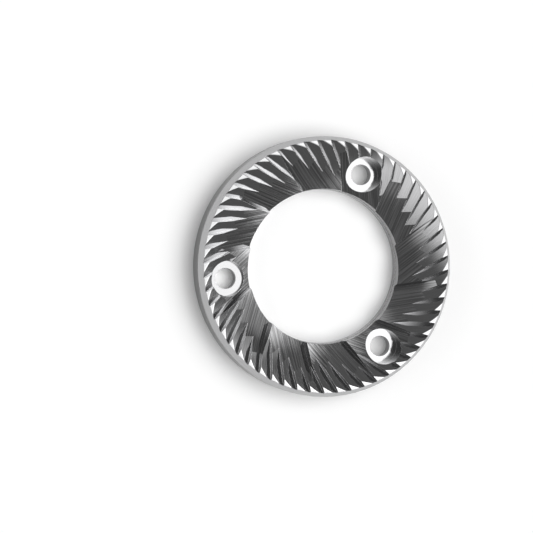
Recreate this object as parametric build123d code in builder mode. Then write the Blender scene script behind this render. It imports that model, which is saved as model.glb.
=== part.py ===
"""Flat grinding burr of a coffee grinder: one hardened steel ring.

Frame: millimetres, +Z up. The origin is the centre of the flat back face, which
lies on Z = 0, and the toothed face points up. Angles run counterclockwise from +X.
"""
import math
import os

from build123d import *

# Blank: a turned ring
outer_diameter = 64.0
bore_diameter = 38.0
height = 8.1
rim_chamfer_width = 1.12
rim_chamfer_depth = 1.9
back_edge_break = 0.35
bore_height = 1.8
bore_relief_diameter = 38.3
bore_relief_slope_height = 0.2

# Three counterbored mounting holes on one circle
hole_count = 3
hole_circle_diameter = 49.4
first_hole_angle = 66.6
through_hole_diameter = 5.1
head_recess_diameter = 8.7
head_seat_height = 3.05

# Grinding teeth: one groove in front of every cutting edge
tooth_count = 56
first_groove_turn = 30.29
groove_offset = 13.35
groove_low_point = 17.6
groove_depth = 2.2
groove_disc_radius = 30.0
groove_steep_angle = 22.6
groove_gentle_angle = 26.9
groove_steep_width = 1.6
groove_gentle_width = 6.0

# Pre-breaker steps: large sloping cuts that feed the beans to the teeth
step_count = 12
first_step_turn = 69.3
step_offset = 7.88
step_low_point = 8.5
step_depth = 6.02
step_disc_radius = 36.0
step_steep_angle = 18.1
step_gentle_angle = 20.2
step_steep_width = 2.6
step_gentle_width = 18.0

# Extra turn of each milling disc's sector beyond the place where it leaves the ring
disc_sector_margin = 3.0

outer_radius = outer_diameter / 2
bore_radius = bore_diameter / 2
bore_relief_radius = bore_relief_diameter / 2

os.makedirs("parts", exist_ok=True)


def cutting_disc(turn, offset, low_point, depth, radius,
                 steep_width, steep_angle, gentle_width, gentle_angle):
    """Make the sector of the disc that mills one groove, with its axis level.

    The groove bottom runs along the direction "turn" and passes the burr axis at
    the distance "offset" on the clockwise side. It is lowest "low_point" along that
    line, "depth" below the toothed face. The steep flank leans "steep_angle" from
    vertical and the gentle flank rises "gentle_angle" from level.
    """
    steep_rise = steep_width / math.tan(math.radians(steep_angle))
    gentle_rise = gentle_width * math.tan(math.radians(gentle_angle))
    half_sector = math.degrees(math.acos(1 - depth / radius)) + disc_sector_margin
    along = Vector(1, 0, 0).rotate(Axis.Z, turn)
    across = Vector(0, 1, 0).rotate(Axis.Z, turn)
    centre = along * low_point - across * offset + Vector(0, 0, height - depth + radius)
    with BuildPart() as disc:
        with BuildSketch(Plane(origin=centre, x_dir=across, z_dir=along)):
            Polygon(
                (0, -radius),
                (steep_width, steep_rise - radius),
                (steep_width, 0),
                (-gentle_width, 0),
                (-gentle_width, gentle_rise - radius),
                align=None,
            )
        revolve(axis=Axis(centre, across), revolution_arc=2 * half_sector)
    return disc.part.rotate(Axis(centre, across), -half_sector)


groove_disc = cutting_disc(
    first_groove_turn, groove_offset, groove_low_point, groove_depth, groove_disc_radius,
    groove_steep_width, groove_steep_angle, groove_gentle_width, groove_gentle_angle,
)
step_disc = cutting_disc(
    first_step_turn, step_offset, step_low_point, step_depth, step_disc_radius,
    step_steep_width, step_steep_angle, step_gentle_width, step_gentle_angle,
)

with BuildPart() as burr:
    with BuildSketch(Plane.XZ):
        Polygon(
            (bore_radius, 0),
            (outer_radius - back_edge_break, 0),
            (outer_radius, back_edge_break),
            (outer_radius, height - rim_chamfer_depth),
            (outer_radius - rim_chamfer_width, height),
            (bore_relief_radius, height),
            (bore_relief_radius, bore_height + bore_relief_slope_height),
            (bore_radius, bore_height),
            align=None,
        )
    revolve(axis=Axis.Z)
    for number in range(step_count):
        add(step_disc.rotate(Axis.Z, 360 / step_count * number), mode=Mode.SUBTRACT)
    for number in range(tooth_count):
        add(groove_disc.rotate(Axis.Z, 360 / tooth_count * number), mode=Mode.SUBTRACT)
    with Locations((0, 0, height)):
        with PolarLocations(hole_circle_diameter / 2, hole_count, start_angle=first_hole_angle):
            CounterBoreHole(
                radius=through_hole_diameter / 2,
                counter_bore_radius=head_recess_diameter / 2,
                counter_bore_depth=height - head_seat_height,
                depth=height,
            )

burr.part.label = "burr"
export_step(burr.part, "parts/burr.step")
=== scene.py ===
"""Looks of the flat coffee grinder burr: milled and ground steel on a white studio floor."""

import math

import bpy
from mathutils import Matrix, Vector

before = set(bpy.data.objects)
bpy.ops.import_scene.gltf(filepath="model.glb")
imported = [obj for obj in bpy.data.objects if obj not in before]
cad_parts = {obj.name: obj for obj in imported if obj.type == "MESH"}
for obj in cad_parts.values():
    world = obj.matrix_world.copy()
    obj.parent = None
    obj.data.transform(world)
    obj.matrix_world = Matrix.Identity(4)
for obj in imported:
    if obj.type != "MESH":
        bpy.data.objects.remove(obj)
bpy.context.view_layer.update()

MM = 0.001
WHITE = (1.0, 1.0, 1.0, 1.0)

# Sizes of the burr in mm and degrees, which place the marks of each cut
TOP = 8.1
BORE_EDGE = 19.3
RIM_EDGE = 30.9
HOLE_COUNT = 3
HOLE_CIRCLE_RADIUS = 24.7
FIRST_HOLE_TURN = 66.6
RECESS_EDGE = 4.5

# The cuts of the milling discs: how many, the way of the first one, how far its bottom
# line passes from the burr's axis, where along that line it is lowest and how deep, and
# the radius of the disc
GROOVE = {"count": 56, "turn": 30.29, "offset": 13.35, "low": 17.6, "depth": 2.2, "radius": 30.0}
GROOVE_STEEP = 22.6
GROOVE_GENTLE = 26.9
STEP = {"count": 12, "turn": 69.3, "offset": 7.88, "low": 8.5, "depth": 6.02, "radius": 36.0}
STEP_GENTLE = 20.2

# A point belongs to a face that lies this close to it, in mm; the gentle face of a step
# also looks up at least this much
FACE_MARGIN = 0.12
STEP_FACE_UP = 0.75

# How much the mirrored light of each groove flank leans to the steep side
GENTLE_LEAN = 0.125
STEEP_LEAN = 0.219

# Brightness of the steel, and how much darker some of its faces are
STEEL_TONE = 0.45
STEP_DARKER = 0.06
LEVEL_DARKER = 0.09
TURNED_DARKER = 0.03
# The rim wall's darkening is painted shade: it stands in for the shadow and dark surroundings that the
# upright wall mirrors
RIM_WALL_PAINTED_SHADE = 0.24
HOLE_WALL_DARKER = 0.05
STEEL_TINT = (1.0, 1.0, 1.01)

# How much the marks change the brightness, alone and with what a step face adds
MARK_TONE = 0.06
STEP_MARK_TONE = 0.16
STEP_BAND_TONE = 0.14

# Roughness of the steel and what marks, step faces and turned faces add
ROUGHNESS = 0.10
MARK_ROUGHNESS = 0.04
STEP_ROUGHNESS = 0.03
TURNED_ROUGHNESS = 0.08
LEAST_ROUGHNESS = 0.06

# Relief of the marks and rounding of the edges, in mm
MARK_DEPTH = 0.02
MARK_STRENGTH = 0.22
EDGE_RADIUS = 0.09
EDGE_SAMPLES = 6

# Waves of the marks per mm, first along and then across the cut; across a groove they
# are counted from one groove to the next
STEP_MARK_WAVES = (0.05, 3.0)
STEP_BAND_WAVES = (0.16, 0.8)
GROOVE_MARK_WAVES = (0.12, 20.0)
GROUND_WAVES = (2.0, 4.0)
TURNED_WAVES = 7.0

# Camera fitted to the circles of the burr in the photo: its tilt in radians, the focal
# length and the width of the picture in pixels, and where the burr lies before it
TILT_X = 0.015596
TILT_Y = 0.233580
FOCAL_PIXELS = 2000.0
FRAME_PIXELS = 533.0
SENSOR_WIDTH = 36.0
NEAR_CLIP = 0.01
FAR_CLIP = 20.0
OFFSET = Vector((13.10, 0.07, -496.733)) * MM

# Strength of the world's lights
RIGHT_LIGHT = 3.85
LEFT_LIGHT = 1.15
HORIZON_LIGHT = 0.85
SKY_LIGHT = 0.155

# Where each light rises and falls, told by how far a direction leans to the east or the
# north for its height; the horizon's light falls with the height itself
LEAST_HEIGHT = 0.05
RIGHT_EAST = (-0.30, 0.60), (0.75, 1.60)
RIGHT_NORTH = (-0.95, -0.50), (0.40, 1.00)
RIGHT_BEYOND = 0.08
LEFT_EAST = (-3.20, -2.60), (-1.35, -0.75)
LEFT_NORTH = (-1.10, -0.50), (0.90, 1.50)
HORIZON_FALL = (0.02, 0.14)

# The floor: half its width in metres, and its looks
FLOOR_HALF = 3.0
FLOOR_COLOUR = (0.92, 0.92, 0.92, 1.0)
FLOOR_ROUGHNESS = 0.9
FLOOR_GLOW = 0.11


class Num:
    """A number worked out point by point on the surface."""

    def __init__(self, tree, socket):
        self.tree = tree
        self.socket = socket

    def math(self, kind, *others):
        node = self.tree.nodes.new("ShaderNodeMath")
        node.operation = kind
        for index, value in enumerate((self,) + others):
            if isinstance(value, Num):
                self.tree.links.new(value.socket, node.inputs[index])
            else:
                node.inputs[index].default_value = value
        return Num(self.tree, node.outputs[0])

    def __add__(self, other):
        return self.math("ADD", other)

    def __sub__(self, other):
        return self.math("SUBTRACT", other)

    def __mul__(self, other):
        return self.math("MULTIPLY", other)

    def __truediv__(self, other):
        return self.math("DIVIDE", other)

    def ramp(self, low, high, to_low=0.0, to_high=1.0):
        """Goes smoothly from to_low at low to to_high at high."""
        node = self.tree.nodes.new("ShaderNodeMapRange")
        node.interpolation_type = "SMOOTHSTEP"
        self.tree.links.new(self.socket, node.inputs[0])
        for index, value in enumerate((low, high, to_low, to_high)):
            node.inputs[index + 1].default_value = value
        return Num(self.tree, node.outputs[0])

    def band(self, rise, fall, beyond=0.0):
        """1 between rise and fall, 0 before the rise and beyond past the fall."""
        return self.ramp(*rise) * self.ramp(*fall, 1.0, beyond)

    def mix(self, other, share):
        """This number where share is 0 and the other where it is 1."""
        return self + (other - self) * share


def noise(tree, x, y, z, detail=3.0, roughness=0.6):
    """Soft noise about 0.5 at the point x, y, z."""
    joined = tree.nodes.new("ShaderNodeCombineXYZ")
    for index, value in enumerate((x, y, z)):
        if isinstance(value, Num):
            tree.links.new(value.socket, joined.inputs[index])
        else:
            joined.inputs[index].default_value = value
    node = tree.nodes.new("ShaderNodeTexNoise")
    node.inputs["Scale"].default_value = 1.0
    node.inputs["Detail"].default_value = detail
    node.inputs["Roughness"].default_value = roughness
    tree.links.new(joined.outputs[0], node.inputs["Vector"])
    return Num(tree, node.outputs["Fac"])


def steel():
    """Milled and ground steel whose fine marks follow how each face was cut."""
    material = bpy.data.materials.new("burr_steel")
    material.use_nodes = True
    tree = material.node_tree
    nodes, links = tree.nodes, tree.links
    shader = nodes["Principled BSDF"]
    shader.inputs["Metallic"].default_value = 1.0

    place = nodes.new("ShaderNodeTexCoord")
    split = nodes.new("ShaderNodeSeparateXYZ")
    links.new(place.outputs["Object"], split.inputs[0])
    x, y, z = (Num(tree, split.outputs[i]) / MM for i in range(3))
    geometry = nodes.new("ShaderNodeNewGeometry")
    normal = nodes.new("ShaderNodeSeparateXYZ")
    links.new(geometry.outputs["True Normal"], normal.inputs[0])
    up = Num(tree, normal.outputs[2])

    radius = (x * x + y * y).math("SQRT")
    turn = y.math("ARCTAN2", x)

    def cut_number(cut):
        """Number of the cut whose bottom runs through the point, with the part between two cuts."""
        veer = (radius.math("POWER", -1.0) * cut["offset"]).math("MINIMUM", 1.0).math("ARCSINE")
        return (turn + veer - math.radians(cut["turn"])) / (2 * math.pi / cut["count"])

    def in_cut(cut, number):
        """Place along a cut, distance from its bottom line, and the way of that distance.

        The distance counts to the counterclockwise side.
        """
        direction = number * (2 * math.pi / cut["count"]) + math.radians(cut["turn"])
        way_x, way_y = direction.math("SINE") * -1, direction.math("COSINE")
        return x * way_y - y * way_x, x * way_x + y * way_y + cut["offset"], (way_x, way_y)

    def flank_height(cut, along, rise):
        """Height of a flank that stands this far above the bottom of its milling disc's rim."""
        reach = rise * -1 + cut["radius"]
        sunk = along - cut["low"]
        return (reach * reach - sunk * sunk).math("SQRT") * -1 + (TOP - cut["depth"] + cut["radius"])

    # The gentle face of the step cut that reaches this point
    step_number = cut_number(STEP).math("CEIL")
    step_along, step_across, _ = in_cut(STEP, step_number)
    step_rise = step_across * -math.tan(math.radians(STEP_GENTLE))
    step_height = flank_height(STEP, step_along, step_rise)

    # The gentle flank of the groove ahead and the steep flank of the groove behind
    groove_number = cut_number(GROOVE)
    ahead_along, ahead, gentle_way = in_cut(GROOVE, groove_number.math("CEIL"))
    gentle_rise = ahead * -math.tan(math.radians(GROOVE_GENTLE))
    gentle_height = flank_height(GROOVE, ahead_along, gentle_rise)
    behind_along, behind, steep_way = in_cut(GROOVE, groove_number.math("FLOOR"))
    steep_rise = behind / math.tan(math.radians(GROOVE_STEEP))
    steep_height = flank_height(GROOVE, behind_along, steep_rise)

    def on_face(face_height, *others):
        """1 where the surface is this face, which lies lower than the others there, and 0 elsewhere."""
        share = (z - face_height).math("ABSOLUTE").math("LESS_THAN", FACE_MARGIN)
        for other in others:
            share = share * face_height.math("LESS_THAN", other)
        return share

    on_step = on_face(step_height, gentle_height, steep_height) * up.math("GREATER_THAN", STEP_FACE_UP)
    on_gentle = on_face(gentle_height, step_height, steep_height)
    on_steep = on_face(steep_height, step_height, gentle_height)

    # Level faces, and turned faces at the bore and the rim
    level = up.ramp(0.998, 0.9995)
    past_rim_edge = radius.ramp(RIM_EDGE, RIM_EDGE + 0.05)
    at_bore = radius.ramp(BORE_EDGE - 0.1, BORE_EDGE, 1.0, 0.0) * up.ramp(0.6, 0.7, 1.0, 0.0)
    turned = at_bore.math("MAXIMUM", past_rim_edge * up.ramp(0.98, 0.99, 1.0, 0.0))

    # Distance from the nearest hole's axis, and the seat at the bottom of its recess
    hole_share = 2 * math.pi / HOLE_COUNT
    hole_first = math.radians(FIRST_HOLE_TURN)
    hole_turn = ((turn - hole_first) / hole_share).math("ROUND") * hole_share + hole_first
    hole_x = x - hole_turn.math("COSINE") * HOLE_CIRCLE_RADIUS
    hole_y = y - hole_turn.math("SINE") * HOLE_CIRCLE_RADIUS
    hole_radius = (hole_x * hole_x + hole_y * hole_y).math("SQRT")
    on_seat = level * z.ramp(TOP - 0.1, TOP - 0.05, 1.0, 0.0)

    # Upright walls at the rim and in the holes
    rim_wall = up.ramp(0.05, 0.15, 1.0, 0.0) * past_rim_edge
    hole_wall = up.math("ABSOLUTE").ramp(0.05, 0.15, 1.0, 0.0)
    hole_wall = hole_wall * hole_radius.ramp(RECESS_EDGE - 0.1, RECESS_EDGE, 1.0, 0.0)

    # Marks of each kind of cut: fine lines everywhere, and broad soft bands on the steps
    along, across = STEP_MARK_WAVES
    step_marks = noise(tree, step_along * along, step_across * across, step_number * 7.3, 1.0, 0.5)
    step_marks = step_marks.ramp(0.3, 0.7)
    along, across = STEP_BAND_WAVES
    step_bands = noise(tree, step_along * along, step_across * across, step_number * 3.1, 1.0, 0.5)
    along, across = GROOVE_MARK_WAVES
    groove_marks = noise(tree, groove_number * across, radius * along, z * 0.3, 2.0, 0.6)
    groove_marks = groove_marks.ramp(0.2, 0.8)
    turned_marks = noise(tree, turn * 2.0, radius * TURNED_WAVES, z * TURNED_WAVES, 3.0, 0.6)
    along, across = GROUND_WAVES
    ground_marks = noise(tree, x * across + y * along, y * across - x * along, 9.0, 2.0, 0.6)
    seat_marks = noise(tree, hole_turn, hole_radius * TURNED_WAVES, 4.0, 2.0, 0.6)
    marks = groove_marks.mix(step_marks, on_step)
    marks = marks.mix(turned_marks, turned)
    marks = marks.mix(ground_marks, level)
    marks = marks.mix(seat_marks, on_seat)

    tone = (marks - 0.5) * (on_step * STEP_MARK_TONE + MARK_TONE)
    tone = tone + (step_bands - 0.5) * on_step * STEP_BAND_TONE + STEEL_TONE
    tone = tone - on_step * STEP_DARKER - level * LEVEL_DARKER - turned * TURNED_DARKER
    # Painted shade on the rim wall, for the shadow and dark surroundings it mirrors
    tone = tone - rim_wall * RIM_WALL_PAINTED_SHADE - hole_wall * HOLE_WALL_DARKER
    colour = nodes.new("ShaderNodeCombineColor")
    for index, tint in enumerate(STEEL_TINT):
        links.new((tone * tint).socket, colour.inputs[index])
    links.new(colour.outputs[0], shader.inputs["Base Color"])
    rough = (marks - 0.5) * MARK_ROUGHNESS + ROUGHNESS
    rough = rough + on_step * STEP_ROUGHNESS + turned * TURNED_ROUGHNESS
    links.new(rough.math("MAXIMUM", LEAST_ROUGHNESS).socket, shader.inputs["Roughness"])

    edge = nodes.new("ShaderNodeBevel")
    edge.samples = EDGE_SAMPLES
    edge.inputs["Radius"].default_value = EDGE_RADIUS * MM
    # Both flanks of a groove mirror as if they leaned a little more to the steep side
    lean = nodes.new("ShaderNodeCombineXYZ")
    for index in range(2):
        part = on_gentle * gentle_way[index] * GENTLE_LEAN + on_steep * steep_way[index] * STEEP_LEAN
        links.new(part.socket, lean.inputs[index])
    leaning = nodes.new("ShaderNodeVectorMath")
    links.new(edge.outputs[0], leaning.inputs[0])
    links.new(lean.outputs[0], leaning.inputs[1])
    unit = nodes.new("ShaderNodeVectorMath")
    unit.operation = "NORMALIZE"
    links.new(leaning.outputs[0], unit.inputs[0])
    bump = nodes.new("ShaderNodeBump")
    bump.inputs["Strength"].default_value = MARK_STRENGTH
    bump.inputs["Distance"].default_value = MARK_DEPTH * MM
    links.new(marks.socket, bump.inputs["Height"])
    links.new(unit.outputs[0], bump.inputs["Normal"])
    links.new(bump.outputs[0], shader.inputs["Normal"])
    return material


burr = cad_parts["burr"]
burr.material_slots[0].material = steel()

# Camera
facing = Matrix.Rotation(TILT_X, 3, "X") @ Matrix.Rotation(TILT_Y, 3, "Y")
camera_data = bpy.data.cameras.new("camera")
camera_data.sensor_width = SENSOR_WIDTH
camera_data.lens = FOCAL_PIXELS / FRAME_PIXELS * camera_data.sensor_width
camera_data.clip_start = NEAR_CLIP
camera_data.clip_end = FAR_CLIP
camera = bpy.data.objects.new("camera", camera_data)
camera.matrix_world = Matrix.Translation(facing.transposed() @ -OFFSET) @ facing.transposed().to_4x4()
bpy.context.scene.collection.objects.link(camera)
bpy.context.scene.camera = camera

# Surroundings: a large soft light on the right, a small one on the left, a pale band at
# the horizon, and dim grey elsewhere
world = bpy.data.worlds.new("studio")
world.use_nodes = True
bpy.context.scene.world = world
tree = world.node_tree
place = tree.nodes.new("ShaderNodeTexCoord")
split = tree.nodes.new("ShaderNodeSeparateXYZ")
tree.links.new(place.outputs["Generated"], split.inputs[0])
east, north, height = (Num(tree, split.outputs[i]) for i in range(3))
east = east / height.math("MAXIMUM", LEAST_HEIGHT)
north = north / height.math("MAXIMUM", LEAST_HEIGHT)
right = east.band(*RIGHT_EAST, RIGHT_BEYOND) * north.band(*RIGHT_NORTH)
left = east.band(*LEFT_EAST) * north.band(*LEFT_NORTH)
horizon = height.ramp(*HORIZON_FALL, HORIZON_LIGHT, 0.0)
glow = right * RIGHT_LIGHT + left * LEFT_LIGHT + horizon + SKY_LIGHT
tree.links.new(glow.socket, tree.nodes["Background"].inputs["Strength"])
tree.nodes["Background"].inputs["Color"].default_value = WHITE

# White studio floor that keeps the soft shadow
floor_mesh = bpy.data.meshes.new("floor")
corners = [(-FLOOR_HALF, -FLOOR_HALF, 0), (FLOOR_HALF, -FLOOR_HALF, 0),
           (FLOOR_HALF, FLOOR_HALF, 0), (-FLOOR_HALF, FLOOR_HALF, 0)]
floor_mesh.from_pydata(corners, [], [(0, 1, 2, 3)])
floor = bpy.data.objects.new("floor", floor_mesh)
bpy.context.scene.collection.objects.link(floor)
paper = bpy.data.materials.new("paper")
paper.use_nodes = True
tree = paper.node_tree
shade = tree.nodes["Principled BSDF"]
shade.inputs["Base Color"].default_value = FLOOR_COLOUR
shade.inputs["Roughness"].default_value = FLOOR_ROUGHNESS
path = tree.nodes.new("ShaderNodeLightPath")
seen = Num(tree, path.outputs["Is Camera Ray"])
for ray in ("Is Glossy Ray", "Is Transmission Ray"):
    seen = seen.math("MAXIMUM", Num(tree, path.outputs[ray]))
shade.inputs["Emission Color"].default_value = WHITE
tree.links.new((seen * FLOOR_GLOW).socket, shade.inputs["Emission Strength"])
floor_mesh.materials.append(paper)

bpy.context.scene.view_settings.view_transform = "Standard"
